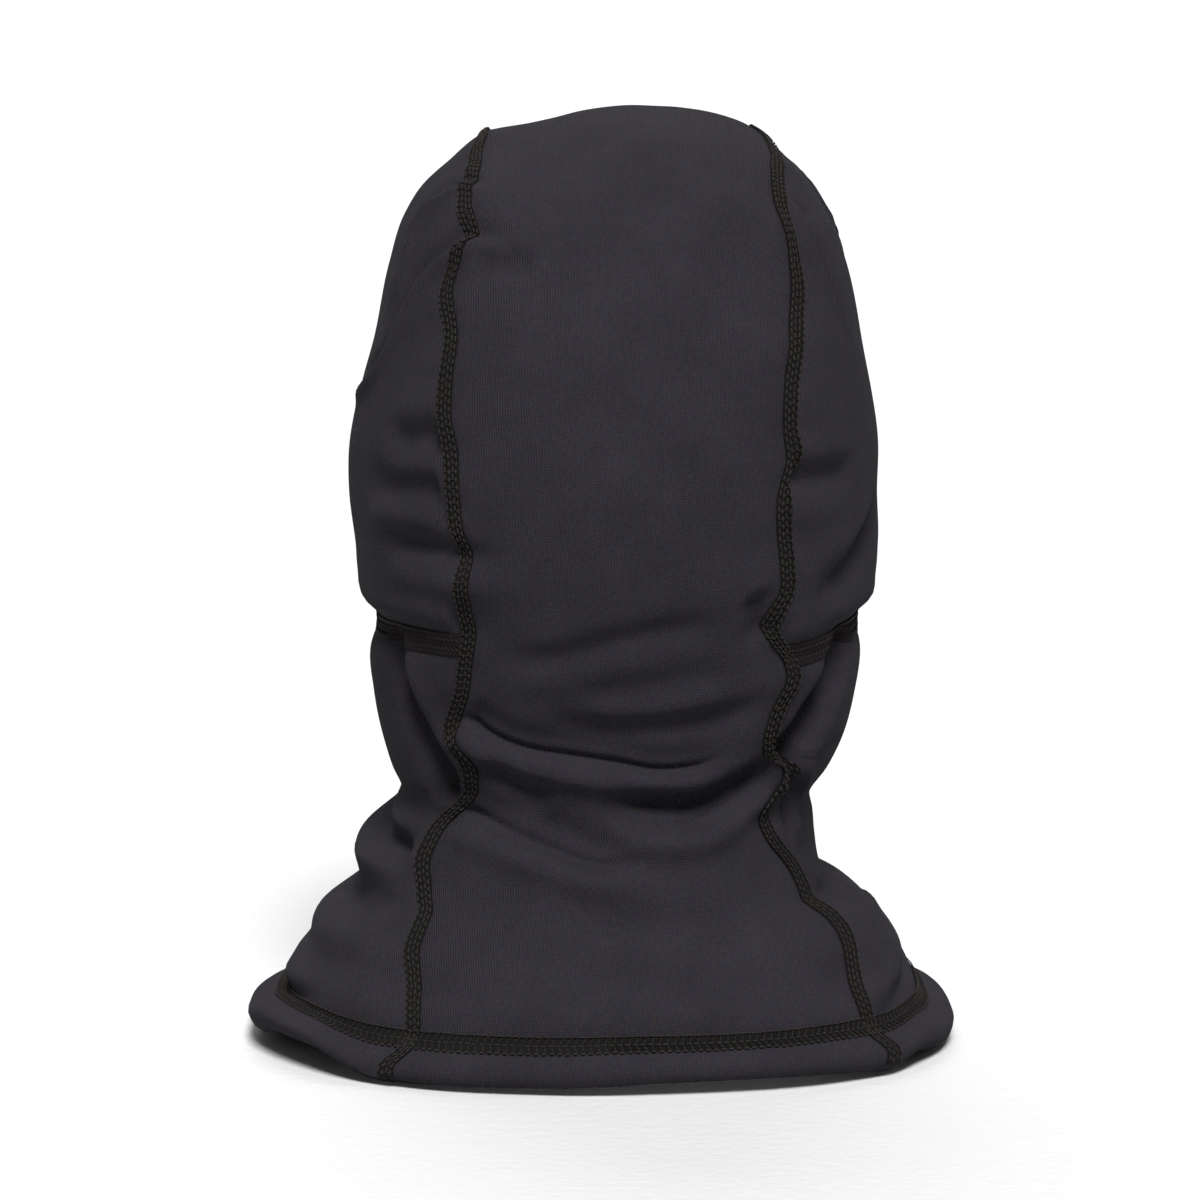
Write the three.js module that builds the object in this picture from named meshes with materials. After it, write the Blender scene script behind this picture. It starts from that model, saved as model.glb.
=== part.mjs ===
// A hinged ski balaclava: a crown-and-back panel, two hood sides, a two-piece neck wrap, a chin panel
// and a two-piece face mask that pulls down, in brushed stretch fleece, with flatlock seams, elastic
// bindings and a turned-up hem.
//
// Millimetres, +Z up. The wearer faces -Y and +X is the wearer's left. The origin is the middle of the
// head. Every piece lies on one outer surface: a rounded dome over the head, then horizontal sections that
// narrow at the neck and flare over the shoulders. Soft pieces are plain closed solids in their worn shape.

import * as THREE from "three";

// Driving dimensions
const CLOTH = 2.2; // thickness of the fleece
const SEAM_GAP = 0.4; // between two pieces that are sewn edge to edge
const SEAM_WIDTH = 6.4; // a flatlock seam or a cover stitch
const TAPE_WIDTH = 7.4; // the elastic tape over a hinged join
const BINDING_WIDTH = 7; // an elastic binding, as seen from outside
const CROWN_Z = 121;
const WIDEST_Z = -5; // the head's widest section, where the dome starts
const NARROWEST_Z = -113; // the neck
const HEM_Z = -195;
const HEAD_SIDE = 90.5;
const HEAD_BACK = 110;
const HEAD_FRONT = 105;
const ROUND = 2.35; // 2 is an ellipse, and more is squarer

// Sections below the widest one: height, half width, depth to the back and depth to the front.
const SECTIONS = [
  [WIDEST_Z, HEAD_SIDE, HEAD_BACK, HEAD_FRONT],
  [-30, 90, 107, 106],
  [-55, 85, 99, 106],
  [-78, 82, 90, 104],
  [-100, 77, 83, 97],
  [NARROWEST_Z, 73.5, 81, 90],
  [-130, 77.5, 84, 85],
  [-150, 89, 90, 88],
  [-172, 106, 98, 96],
  [HEM_Z, 123, 108, 107],
];

// The seams between the crown-and-back panel and the sides: height and distance from the middle.
const CROWN_SEAM_X = 54;
const BACK_SEAM = [
  [WIDEST_Z, CROWN_SEAM_X],
  [-60, 51.5],
  [-100, 50.5],
  [-125, 53],
  [-150, 60],
  [-172, 69.5],
  [HEM_Z, 81],
];

// The hood's lower edge, and the two hinge points where it meets the face opening.
const HINGE_X = 79;
const HINGE_Z = -40;
const BAND_Z = -53; // the lower edge's height at the sides and the back
const BAND_LEVEL = 0.55; // the share of the edge that is level before it rises to the hinge point

// The face opening's arch, from a hinge point over the brow to the other
const BROW_Z = 46;
const ARCH_ROUND = 3.4;

// Heights in the middle of the front of the three edges that fan out from the hinge points: the jaw seam
// under the chin, the seam between the chin panel and the mask, and the mask's edge over the nose. Seen
// from the side each is nearly straight, so the mask turns about the hinge points and clears the neck wrap.
const JAW_SEAM_Z = -118;
const MASK_SEAM_Z = -49;
const NOSE_EDGE_Z = -14;
const JAW_DROP = 0.6; // below 1 the jaw seam falls steeply at first
const JAW_GAP = 1.2; // measured upright, because the jaw seam is steep beside the hinge points
const CHIN_START = 0.04; // the share of the way round from the hinge point where the chin panel starts
const JAW_SEAM_START = 0.1; // and where the jaw seam starts
const MASK_START = 0.19; // where the mask comes out of the hood
const TACK_PLACE = 0.86; // of the way along a hinge tape
const NOSE = { out: 11, x: 22, z: 24, atZ: -18 }; // how far the mask stands out there, and its spread

// The hem is turned up inside and held by a cover stitch that shows outside.
const HEM_TALL = 14.5; // the height of the cloth turned up inside
const HEM_CLEAR = 0.9; // between it and the cloth outside
const STITCH_BELOW = 2; // from its upper edge down to the middle of the cover stitch

const LABEL = { wide: 24, tall: 36, thick: 0.5, clear: 5, middleZ: -122 }; // the care label inside the neck

const CLOTH_LOOK = { color: 0x37343a, roughness: 0.92, metalness: 0 };
const THREAD_LOOK = { color: 0x211f1e, roughness: 0.7, metalness: 0 };
const ELASTIC_LOOK = { color: 0x1c1a1b, roughness: 0.8, metalness: 0 };
const LABEL_LOOK = { color: 0xd8d6d0, roughness: 0.6, metalness: 0 };

const hood = new THREE.Group();
const rad = THREE.MathUtils.degToRad;
const lerp = THREE.MathUtils.lerp;
const steps = (count) => Array.from({ length: count + 1 }, (_, i) => i / count);

// A smooth curve through a table's points, as a function of the first column. It starts level.
function along(table, column, z) {
  const slope = (i) =>
    i === 0 || i === table.length - 1
      ? i && (table[i][column] - table[i - 1][column]) / (table[i][0] - table[i - 1][0])
      : (table[i + 1][column] - table[i - 1][column]) / (table[i + 1][0] - table[i - 1][0]);
  let i = 0;
  while (i < table.length - 2 && z < table[i + 1][0]) i += 1;
  const run = table[i + 1][0] - table[i][0];
  const t = (z - table[i][0]) / run;
  const rise = table[i + 1][column] - table[i][column];
  const start = slope(i) * run;
  const end = slope(i + 1) * run;
  const bend = 3 * rise - 2 * start - end;
  const twist = start + end - 2 * rise;
  return table[i][column] + start * t + bend * t ** 2 + twist * t ** 3;
}

// What is left of a rounded section when a share of it is taken, and the two parts of a turn round it.
const rest = (share) => Math.max(0, 1 - Math.abs(share) ** ROUND) ** (1 / ROUND);
const part = (value) => Math.sign(value) * Math.abs(value) ** (2 / ROUND);

// Half width, depth to the back and depth to the front of the section at a height
function section(z) {
  if (z >= WIDEST_Z) {
    const share = rest((z - WIDEST_Z) / (CROWN_Z - WIDEST_Z));
    return { side: HEAD_SIDE * share, back: HEAD_BACK * share, front: HEAD_FRONT * share };
  }
  return { side: along(SECTIONS, 1, z), back: along(SECTIONS, 2, z), front: along(SECTIONS, 3, z) };
}

// The outward direction at a point of the outer surface
function normalAt(p) {
  const power = (value, size) => (Math.sign(value) * Math.abs(value / size) ** (ROUND - 1)) / size;
  if (p.z >= WIDEST_Z) {
    const depth = p.y >= 0 ? HEAD_BACK : HEAD_FRONT;
    const z = power(p.z - WIDEST_Z, CROWN_Z - WIDEST_Z);
    return new THREE.Vector3(power(p.x, HEAD_SIDE), power(p.y, depth), z).normalize();
  }
  const [here, below] = [section(p.z), section(p.z - 1)];
  const which = p.y >= 0 ? "back" : "front";
  const fall = (value, size, next) => Math.abs(value / size) ** ROUND * ((size - next) / size);
  const z = -fall(p.x, here.side, below.side) - fall(p.y, here[which], below[which]);
  return new THREE.Vector3(power(p.x, here.side), power(p.y, here[which]), z).normalize();
}

// A point of the outer surface, by its height and its turn from the middle of the back towards +X
function atTurn(turn, z) {
  const { side, back, front } = section(z);
  const depth = Math.cos(turn) >= 0 ? back : front;
  return new THREE.Vector3(side * part(Math.sin(turn)), depth * part(Math.cos(turn)), z);
}

// The turn at which the surface is x from the middle, at the back or at the front
function turnOf(x, z, front) {
  const turn = Math.asin(Math.min(1, Math.abs(x) / section(z).side) ** (ROUND / 2));
  return front ? Math.PI - turn : turn;
}

// A point of the dome, by its distance from the middle and its pitch: 0 at the back, 90 degrees at the crown
function atPitch(x, pitch) {
  const share = rest(x / HEAD_SIDE);
  const depth = Math.cos(pitch) >= 0 ? HEAD_BACK : HEAD_FRONT;
  const rise = (CROWN_Z - WIDEST_Z) * share * part(Math.sin(pitch));
  return new THREE.Vector3(x, depth * share * part(Math.cos(pitch)), WIDEST_Z + rise);
}

// The pitch at which the dome reaches a height
function pitchOf(x, z) {
  const share = (z - WIDEST_Z) / ((CROWN_Z - WIDEST_Z) * rest(x / HEAD_SIDE));
  return Math.asin(Math.min(1, share ** (ROUND / 2)));
}

// The mask's extra depth over the nose
function withNose(p) {
  const out = NOSE.out * Math.exp(-((p.x / NOSE.x) ** 2) - ((p.z - NOSE.atZ) / NOSE.z) ** 2);
  return p.y < 0 ? p.clone().setY(p.y - out) : p;
}

// Where the face opening's arch is, half its width at a height and its height at a distance from the middle
const archX = (z, grow) => {
  const share = Math.max(0, z - HINGE_Z) / (BROW_Z - HINGE_Z + grow);
  return (HINGE_X + grow) * (1 - Math.min(1, share) ** ARCH_ROUND) ** (1 / ARCH_ROUND);
};
const archZ = (x, grow) => {
  const share = Math.abs(x) / (HINGE_X + grow);
  return HINGE_Z + (BROW_Z - HINGE_Z + grow) * (1 - share ** ARCH_ROUND) ** (1 / ARCH_ROUND);
};

// Heights of the hood's lower edge and of the edges that fan out, by the share of the way along
const bandZ = (share) => {
  const rise = Math.max(0, share - BAND_LEVEL) / (1 - BAND_LEVEL);
  return BAND_Z + (HINGE_Z - BAND_Z) * rise ** 2;
};
const fan = (middleZ, share) => HINGE_Z + (middleZ - HINGE_Z) * Math.sin((share * Math.PI) / 2);
const jawZ = (share) => HINGE_Z + (JAW_SEAM_Z - HINGE_Z) * Math.sin((share * Math.PI) / 2) ** JAW_DROP;
const chinTopZ = (share) => fan(MASK_SEAM_Z, share);
const noseZ = (share) => fan(NOSE_EDGE_Z, share);
const HINGE_TURN = turnOf(HINGE_X, HINGE_Z, true);
const frontTurn = (share) => lerp(HINGE_TURN, Math.PI, share);

// A closed solid between two grids of points, which wraps round where its columns meet
function solid(outer, inner, wraps = false) {
  const rows = outer.length;
  const columns = outer[0].length;
  const positions = [...outer.flat(), ...inner.flat()].flatMap((p) => p.toArray());
  const at = (row, column, layer) => layer * rows * columns + row * columns + (column % columns);
  const index = [];
  const quad = (a, b, c, d) => index.push(a, b, c, a, c, d);
  const cells = wraps ? columns : columns - 1;
  for (let r = 0; r < rows - 1; r += 1)
    for (let c = 0; c < cells; c += 1) {
      quad(at(r, c, 0), at(r, c + 1, 0), at(r + 1, c + 1, 0), at(r + 1, c, 0));
      quad(at(r, c, 1), at(r + 1, c, 1), at(r + 1, c + 1, 1), at(r, c + 1, 1));
    }
  for (let c = 0; c < cells; c += 1) {
    quad(at(0, c, 0), at(0, c, 1), at(0, c + 1, 1), at(0, c + 1, 0));
    quad(at(rows - 1, c, 0), at(rows - 1, c + 1, 0), at(rows - 1, c + 1, 1), at(rows - 1, c, 1));
  }
  if (!wraps)
    for (let r = 0; r < rows - 1; r += 1) {
      quad(at(r, 0, 0), at(r + 1, 0, 0), at(r + 1, 0, 1), at(r, 0, 1));
      quad(at(r, cells, 0), at(r, cells, 1), at(r + 1, cells, 1), at(r + 1, cells, 0));
    }
  if (volume(positions, index) < 0) index.reverse();
  const geometry = new THREE.BufferGeometry();
  geometry.setAttribute("position", new THREE.Float32BufferAttribute(positions, 3));
  geometry.setIndex(index);
  geometry.computeVertexNormals();
  return geometry;
}

// Six times the signed volume inside the triangles, below zero if they face inwards
function volume(positions, index) {
  const corner = (i) => new THREE.Vector3().fromArray(positions, 3 * index[i]);
  let sum = 0;
  for (let i = 0; i < index.length; i += 3) sum += corner(i).dot(corner(i + 1).cross(corner(i + 2)));
  return sum;
}

// A layer on the outer surface, from one distance outside it to another. The hem's foot stays level.
function layer(grid, from, to, wraps = false) {
  const moved = (distance) =>
    grid.map((row) =>
      row.map((p) => {
        const out = normalAt(p);
        if (p.z <= HEM_Z + 0.01) out.setZ(0).normalize();
        return withNose(p.clone().addScaledVector(out, distance));
      }),
    );
  return solid(moved(to), moved(from), wraps);
}

function add(name, geometry, look) {
  const mesh = new THREE.Mesh(geometry, new THREE.MeshStandardMaterial(look));
  mesh.name = name;
  hood.add(mesh);
}

// The same piece on the left, as given, and mirrored on the right
function addPair(name, grid, from, to, look) {
  const mirrored = grid.map((row) => row.map((p) => new THREE.Vector3(-p.x, p.y, p.z)));
  add(name + "_left", layer(grid, from, to), look);
  add(name + "_right", layer(mirrored, from, to), look);
}

// Rows shared by the pieces that meet at the crown-and-back seams, so that their edges lie side by side
const BROW_GAP = 1.2; // between a panel and the face binding
const CORNER_PITCH = pitchOf(CROWN_SEAM_X, archZ(CROWN_SEAM_X, BROW_GAP));
const TOP_PITCH = rad(82);
const LOW_PITCHES = steps(4).map((t) => t * CORNER_PITCH);
const HIGH_PITCHES = steps(9).slice(1).map((t) => lerp(CORNER_PITCH, TOP_PITCH, t));
const BACK_PITCHES = [...LOW_PITCHES, ...HIGH_PITCHES];
const SIDE_STEPS = steps(5).slice(1);
const NECK_STEPS = steps(13);
const COLUMNS = steps(14);

// The share of the way from the widest section down to the hood's lower edge, as a height at the seam
const sideRowZ = (t) => lerp(WIDEST_Z, BAND_Z, t);
const neckRowZ = (t) => lerp(BAND_Z, HEM_Z, t);

// Points at a distance from the middle, from the brow over the crown and down the back to the hem
function crownAndBackLine(across) {
  const crownX = CROWN_SEAM_X * across.share + across.shift;
  const frontPitch = pitchOf(crownX, archZ(crownX, BROW_GAP));
  const scale = (Math.PI / 2 - frontPitch) / (Math.PI / 2 - CORNER_PITCH);
  const overFront = [CORNER_PITCH, ...HIGH_PITCHES].map((pitch) =>
    atPitch(crownX, Math.PI / 2 + (Math.PI / 2 - pitch) * scale),
  );
  const overBack = BACK_PITCHES.toReversed().map((pitch) => atPitch(crownX, pitch));
  const heights = [...SIDE_STEPS.map(sideRowZ), ...NECK_STEPS.slice(1).map(neckRowZ)];
  const down = heights.map((z) => {
    const x = along(BACK_SEAM, 1, z) * across.share + across.shift;
    return atTurn(Math.sign(x) * turnOf(x, z, false), z);
  });
  return [...overFront, ...overBack, ...down];
}

const transposed = (lines) => lines[0].map((_, i) => lines.map((line) => line[i]));

function crownAndBackPanel() {
  const shares = steps(10).map((t) => 2 * t - 1);
  const lines = shares.map((share) => crownAndBackLine({ share, shift: (-share * SEAM_GAP) / 2 }));
  add("crown_back_panel", layer(transposed(lines), -CLOTH, 0), CLOTH_LOOK);
}

function hoodSides() {
  const edge = SEAM_GAP / 2;
  const row = (backX, frontX, z) => {
    const [from, to] = [turnOf(backX, z(0), false), turnOf(frontX, z(1), true)];
    return COLUMNS.map((u) => atTurn(lerp(from, to, u), z(u)));
  };
  const lower = SIDE_STEPS.toReversed().map((t) => {
    const z = (u) => lerp(WIDEST_Z, bandZ(u) + edge, t);
    return row(along(BACK_SEAM, 1, z(0)) + edge, archX(z(1), BROW_GAP), z);
  });
  const dome = BACK_PITCHES.map((pitch) => {
    const { z } = atPitch(CROWN_SEAM_X, pitch);
    const frontX = pitch <= CORNER_PITCH ? archX(z, BROW_GAP) : CROWN_SEAM_X + edge;
    return row(CROWN_SEAM_X + edge, Math.max(frontX, CROWN_SEAM_X + edge), () => z);
  });
  addPair("hood_side", [...lower, ...dome], -CLOTH, 0, CLOTH_LOOK);
}

// The neck wrap's upper edge is the hood's lower edge as far as the hinge point, and then the jaw seam.
const CHIN_COLUMNS = steps(9).map((t) => lerp(CHIN_START, 1, t));
const seamTurn = (z, extra) => turnOf(along(BACK_SEAM, 1, z) + extra, z, false);

function neckTop() {
  const start = seamTurn(BAND_Z, SEAM_GAP / 2);
  const band = COLUMNS.map((u) => ({ turn: lerp(start, HINGE_TURN, u), z: bandZ(u) - SEAM_GAP / 2 }));
  const jaw = CHIN_COLUMNS.map((s) => ({ turn: frontTurn(s), z: jawZ(s) - SEAM_GAP / 2 }));
  const shareOf = (turn, back) => (turn - back) / (Math.PI - back);
  return [...band, ...jaw].map(({ turn, z }) => ({ share: shareOf(turn, seamTurn(z, SEAM_GAP / 2)), z }));
}

function neckWraps() {
  const grid = NECK_STEPS.map((t) =>
    neckTop().map(({ share, z: topZ }) => {
      const z = lerp(topZ, HEM_Z, t);
      const [from, to] = [seamTurn(z, SEAM_GAP / 2), turnOf(SEAM_GAP / 2, z, true)];
      return atTurn(lerp(from, to, share), z);
    }),
  );
  addPair("neck_wrap", grid, -CLOTH, 0, CLOTH_LOOK);
}

// Columns of the mask, from where it comes out of the hood to the middle of the front
const MASK_COLUMNS = steps(8).map((t) => lerp(MASK_START, 1, t));

// A strip from -X to +X through the middle of the front, from its left half
const wholeFront = (grid) =>
  grid.map((row) => [...row.map((p) => new THREE.Vector3(-p.x, p.y, p.z)), ...row.toReversed().slice(1)]);

function chinPanel() {
  const grid = steps(6).map((t) =>
    CHIN_COLUMNS.map((s) => atTurn(frontTurn(s), lerp(jawZ(s) + JAW_GAP, chinTopZ(s) - SEAM_GAP / 2, t))),
  );
  add("chin_panel", layer(wholeFront(grid), -CLOTH, 0), CLOTH_LOOK);
}

function maskHalves() {
  const grid = steps(4).map((t) =>
    MASK_COLUMNS.map((s) => {
      const z = lerp(chinTopZ(s) + SEAM_GAP / 2, noseZ(s) - SEAM_GAP / 2, t);
      return atTurn(Math.min(frontTurn(s), turnOf(SEAM_GAP / 2, z, true)), z);
    }),
  );
  addPair("mask", grid, -CLOTH, 0, CLOTH_LOOK);
}

// Seams and tapes lie on the outside of the pieces that they join
const THREAD_FROM = 0.8;
const THREAD_TO = 1.5;
const OVER_FROM = 2.0; // what is sewn over a seam
const OVER_TO = 2.6;
const across = (width) => [-width / 2, 0, width / 2];

function backSeams() {
  const lines = across(SEAM_WIDTH).map((shift) => crownAndBackLine({ share: 1, shift }));
  addPair("back_seam", transposed(lines), THREAD_FROM, THREAD_TO, THREAD_LOOK);
}

function hingeTapes() {
  const start = seamTurn(BAND_Z, SEAM_WIDTH / 2 + 1);
  const grid = across(TAPE_WIDTH).map((shift) =>
    COLUMNS.slice(0, -1).map((u) => atTurn(lerp(start, HINGE_TURN, u), bandZ(u) + shift)),
  );
  addPair("hinge_tape", grid, THREAD_FROM, THREAD_TO, ELASTIC_LOOK);
}

// A row of close stitches over the end of each hinge tape, where the mask's pull comes
function hingeTacks() {
  const tall = 11;
  const halfWide = rad(1.6);
  const turn = lerp(seamTurn(BAND_Z, 0), HINGE_TURN, TACK_PLACE);
  const grid = [-tall / 2, tall / 2].map((rise) =>
    [-halfWide, halfWide].map((aside) => atTurn(turn + aside, bandZ(TACK_PLACE) + rise)),
  );
  addPair("hinge_tack", grid, OVER_FROM, OVER_TO, THREAD_LOOK);
}

function crossSeams() {
  const strip = (shares, height) =>
    wholeFront(
      across(SEAM_WIDTH).map((shift) => shares.map((s) => atTurn(frontTurn(s), height(s) + shift))),
    );
  const jaw = strip([JAW_SEAM_START, ...MASK_COLUMNS], jawZ);
  const mask = strip(MASK_COLUMNS, chinTopZ);
  add("jaw_seam", layer(jaw, THREAD_FROM, THREAD_TO), THREAD_LOOK);
  add("mask_seam", layer(mask, THREAD_FROM, THREAD_TO), THREAD_LOOK);
}

function frontStrip(fromZ, toZ, count) {
  return steps(count).map((t) => {
    const z = lerp(fromZ, toZ, t);
    return across(SEAM_WIDTH).map((x) => atTurn(Math.sign(x || 1) * turnOf(x, z, true), z));
  });
}

function frontSeams() {
  const clear = SEAM_WIDTH / 2 + SEAM_GAP;
  const neck = frontStrip(JAW_SEAM_Z - clear, HEM_Z, 8);
  const mask = frontStrip(MASK_SEAM_Z + clear, NOSE_EDGE_Z - SEAM_GAP, 4);
  add("neck_front_seam", layer(neck, THREAD_FROM, THREAD_TO), THREAD_LOOK);
  add("mask_front_seam", layer(mask, THREAD_FROM, THREAD_TO), THREAD_LOOK);
}

// An elastic binding holds a cloth edge inside it, so it is thicker than the cloth
const BINDING_OUT = 0.8;

function faceBinding() {
  const inner = -BINDING_WIDTH;
  const grid = [0, inner].map((grow) =>
    steps(16).map((t) => {
      const angle = lerp(rad(1), Math.PI / 2, t);
      const x = (HINGE_X + grow) * Math.cos(angle) ** (2 / ARCH_ROUND);
      const z = HINGE_Z + (BROW_Z - HINGE_Z + grow) * Math.sin(angle) ** (2 / ARCH_ROUND);
      return atTurn(t < 1 ? turnOf(x, z, true) : Math.PI, z);
    }),
  );
  add("face_binding", layer(wholeFront(grid), -CLOTH - BINDING_OUT, BINDING_OUT), ELASTIC_LOOK);
}

function maskBinding() {
  const grid = [SEAM_GAP / 2, BINDING_WIDTH].map((above) =>
    MASK_COLUMNS.slice(1).map((s) => atTurn(frontTurn(s), noseZ(s) + above)),
  );
  add("mask_binding", layer(wholeFront(grid), -CLOTH - BINDING_OUT, BINDING_OUT), ELASTIC_LOOK);
}

const TURNS = Array.from({ length: 48 }, (_, i) => (i * Math.PI) / 24);

function hem() {
  const ring = (z) => TURNS.map((turn) => atTurn(turn, z));
  const facing = [HEM_Z, HEM_Z + HEM_TALL / 2, HEM_Z + HEM_TALL].map(ring);
  const stitchZ = HEM_Z + HEM_TALL - STITCH_BELOW;
  const stitched = across(SEAM_WIDTH).map((shift) => ring(stitchZ + shift));
  add("hem_facing", layer(facing, -2 * CLOTH - HEM_CLEAR, -CLOTH - HEM_CLEAR, true), CLOTH_LOOK);
  add("hem_stitch", layer(stitched, OVER_FROM, OVER_TO, true), THREAD_LOOK);
}

// A blank care label that hangs inside the back of the neck, at its narrowest
function careLabel() {
  const label = new THREE.BoxGeometry(LABEL.wide, LABEL.thick, LABEL.tall);
  label.translate(0, section(NARROWEST_Z).back - CLOTH - LABEL.clear, LABEL.middleZ);
  add("care_label", label, LABEL_LOOK);
}

crownAndBackPanel();
hoodSides();
neckWraps();
chinPanel();
maskHalves();
backSeams();
hingeTapes();
hingeTacks();
crossSeams();
frontSeams();
faceBinding();
maskBinding();
hem();
careLabel();

export default hood;
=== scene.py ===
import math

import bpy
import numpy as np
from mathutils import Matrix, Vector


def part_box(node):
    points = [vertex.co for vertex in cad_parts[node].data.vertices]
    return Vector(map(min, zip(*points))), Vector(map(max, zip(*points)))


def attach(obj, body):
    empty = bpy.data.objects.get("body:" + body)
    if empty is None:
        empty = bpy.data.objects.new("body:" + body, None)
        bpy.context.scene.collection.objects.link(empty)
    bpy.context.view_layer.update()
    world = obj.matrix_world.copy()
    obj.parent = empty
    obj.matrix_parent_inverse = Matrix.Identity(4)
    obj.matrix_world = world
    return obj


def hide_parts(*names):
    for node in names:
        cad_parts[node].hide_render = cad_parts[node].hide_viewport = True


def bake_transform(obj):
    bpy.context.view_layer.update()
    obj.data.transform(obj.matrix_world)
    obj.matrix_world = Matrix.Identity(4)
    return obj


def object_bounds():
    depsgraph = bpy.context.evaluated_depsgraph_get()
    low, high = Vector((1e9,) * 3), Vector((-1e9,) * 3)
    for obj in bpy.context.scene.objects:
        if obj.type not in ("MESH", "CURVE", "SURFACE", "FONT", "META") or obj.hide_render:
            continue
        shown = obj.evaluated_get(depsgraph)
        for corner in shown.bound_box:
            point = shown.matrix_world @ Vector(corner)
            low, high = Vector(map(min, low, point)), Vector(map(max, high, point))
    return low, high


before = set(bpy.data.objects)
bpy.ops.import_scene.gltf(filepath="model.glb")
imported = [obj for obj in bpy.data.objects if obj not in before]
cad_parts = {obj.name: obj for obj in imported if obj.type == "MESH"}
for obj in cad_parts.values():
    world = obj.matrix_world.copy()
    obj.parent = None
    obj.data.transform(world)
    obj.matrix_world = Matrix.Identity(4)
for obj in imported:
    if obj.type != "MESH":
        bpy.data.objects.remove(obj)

# A hinged ski balaclava in charcoal stretch fleece. Every piece lies on one worn surface: the smooth
# surface of the CAD model, moved by the outline of the cloth as worn and by its folds. Lengths are in
# millimetres until a mesh is made. The wearer faces -Y, so the back is towards +Y, and +X is the wearer's
# left.

cad_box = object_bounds()
MM = 0.001

# The smooth surface, as the CAD model has it
CLOTH = 2.2
ROUND = 2.35
CROWN_Z, WIDEST_Z, HEM_Z = 121.0, -5.0, -195.0
HEAD_SIDE, HEAD_BACK, HEAD_FRONT = 90.5, 110.0, 105.0
SECTIONS = [  # height, half width, depth to the back, depth to the front
    (WIDEST_Z, HEAD_SIDE, HEAD_BACK, HEAD_FRONT),
    (-30, 90, 107, 106),
    (-55, 85, 99, 106),
    (-78, 82, 90, 104),
    (-100, 77, 83, 97),
    (-113, 73.5, 81, 90),
    (-130, 77.5, 84, 85),
    (-150, 89, 90, 88),
    (-172, 106, 98, 96),
    (HEM_Z, 123, 108, 107),
]
HINGE_X, HINGE_Z = 79.0, -40.0
BAND_Z, BAND_LEVEL = -53.0, 0.55
HANG_LEFT, HANG_RIGHT, HANG_SHARE = 0.3, 5.2, 0.45  # how far the lower edge hangs, and over what share
BROW_Z, ARCH_ROUND = 46.0, 3.4
JAW_SEAM_Z, MASK_SEAM_Z, NOSE_EDGE_Z, JAW_DROP = -118.0, -49.0, -14.0, 0.6
NOSE_OUT, NOSE_WIDE, NOSE_TALL, NOSE_Z = 11.0, 22.0, 24.0, -18.0
SEAM_WIDTH = 4.7
HALF_GAP = 0.2  # from the line of a seam to the edge of the cloth at either side of it
BINDING_WIDTH = 7.0
STITCH_Z = -182.5
TAPE_WIDTH = 7.6
TACK_PLACE = 0.86  # of the way along a hinge tape
EDGE_GAP = 1.2  # from the face opening's line out to the cloth's edge, which the binding covers
ROLL = 5.0  # how far up the hem's turned edge is rounded
MASK_START = 0.015  # the share of the way from a hinge point to the middle at which the mask's cloth starts

# The worn outline: height, and how far the cloth reaches on the wearer's left and right
OUTLINE = [
    (111, 42.4, 49.4), (103, 53, 59), (94, 63, 68.2), (85, 69, 74), (68, 75, 80), (42, 81, 86),
    (25, 86, 89), (8, 89, 91), (-9, 89, 91), (-27, 87, 92), (-38, 86, 91), (-43, 84, 89),
    (-48, 80, 85), (-54, 80, 85), (-61, 82, 86), (-78, 81, 84), (-96, 78, 79), (-104, 76, 75),
    (-113, 73, 69), (-121, 79, 70), (-130, 86, 71), (-140, 87, 73), (-144, 87, 75), (-148, 91, 83),
    (-156, 101, 93), (-165, 105, 99), (-173, 110, 102), (-182, 114, 108), (-186, 116, 110),
    (-190, 124, 117), (-195, 123.5, 118.5),
]

# How much higher the worn crown and hem are, from the wearer's left to right: distance from the middle
# and height
CROWN_RISE = [
    (56, 0), (47, 1.2), (38, -1.0), (29, -2.5), (20, -2.6), (10, -1.3), (-5, 0.1), (-16, 0.6),
    (-24, 1.6), (-32, 2.6), (-41, 2.3), (-50, 1.2), (-58, 0.0), (-66, -0.8), (-80, 0),
]
HEM_RISE = [
    (126, -1), (121, 1), (115, 5.4), (107, 6.2), (98, 5.0), (90, 1.8), (80, -1.4), (70, -1.6),
    (38, -1.4), (15, -1.0), (-14, 0.4), (-48, 1.0), (-66, 0.6), (-84, -0.3), (-98, -1.6),
    (-109, 1.2), (-115, -0.5), (-120, -2),
]

# The back seams run from the hem up over the crown to the brow. Their way along is a height below the
# widest section, and above it goes on round the dome at so many millimetres a degree. Each point is a way
# along and a distance from the middle.
MM_PER_DEGREE = 1.9
CROWN_Q = WIDEST_Z + 90 * MM_PER_DEGREE
SEAM_END = 298.0  # at the binding over the brow
SEAM_LEFT = [
    (-195, 74), (-180, 65), (-165, 63), (-149, 61), (-133, 58), (-124, 57), (-114, 54.5),
    (-110, 51), (-106, 47.4), (-100, 46), (-94, 46.5), (-88, 49.8), (-81, 52.2), (-75, 50.8),
    (-70, 49.2), (-59, 48.6), (-47, 48.6), (-22, 49.5), (-12, 51), (3, 52), (16, 54.5), (44, 54),
    (68, 54), (77, 48), (94, 48), (115, 46), (137, 46), (152, 44), (166, 42), (190, 44), (240, 53),
    (300, 54),
]
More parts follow.
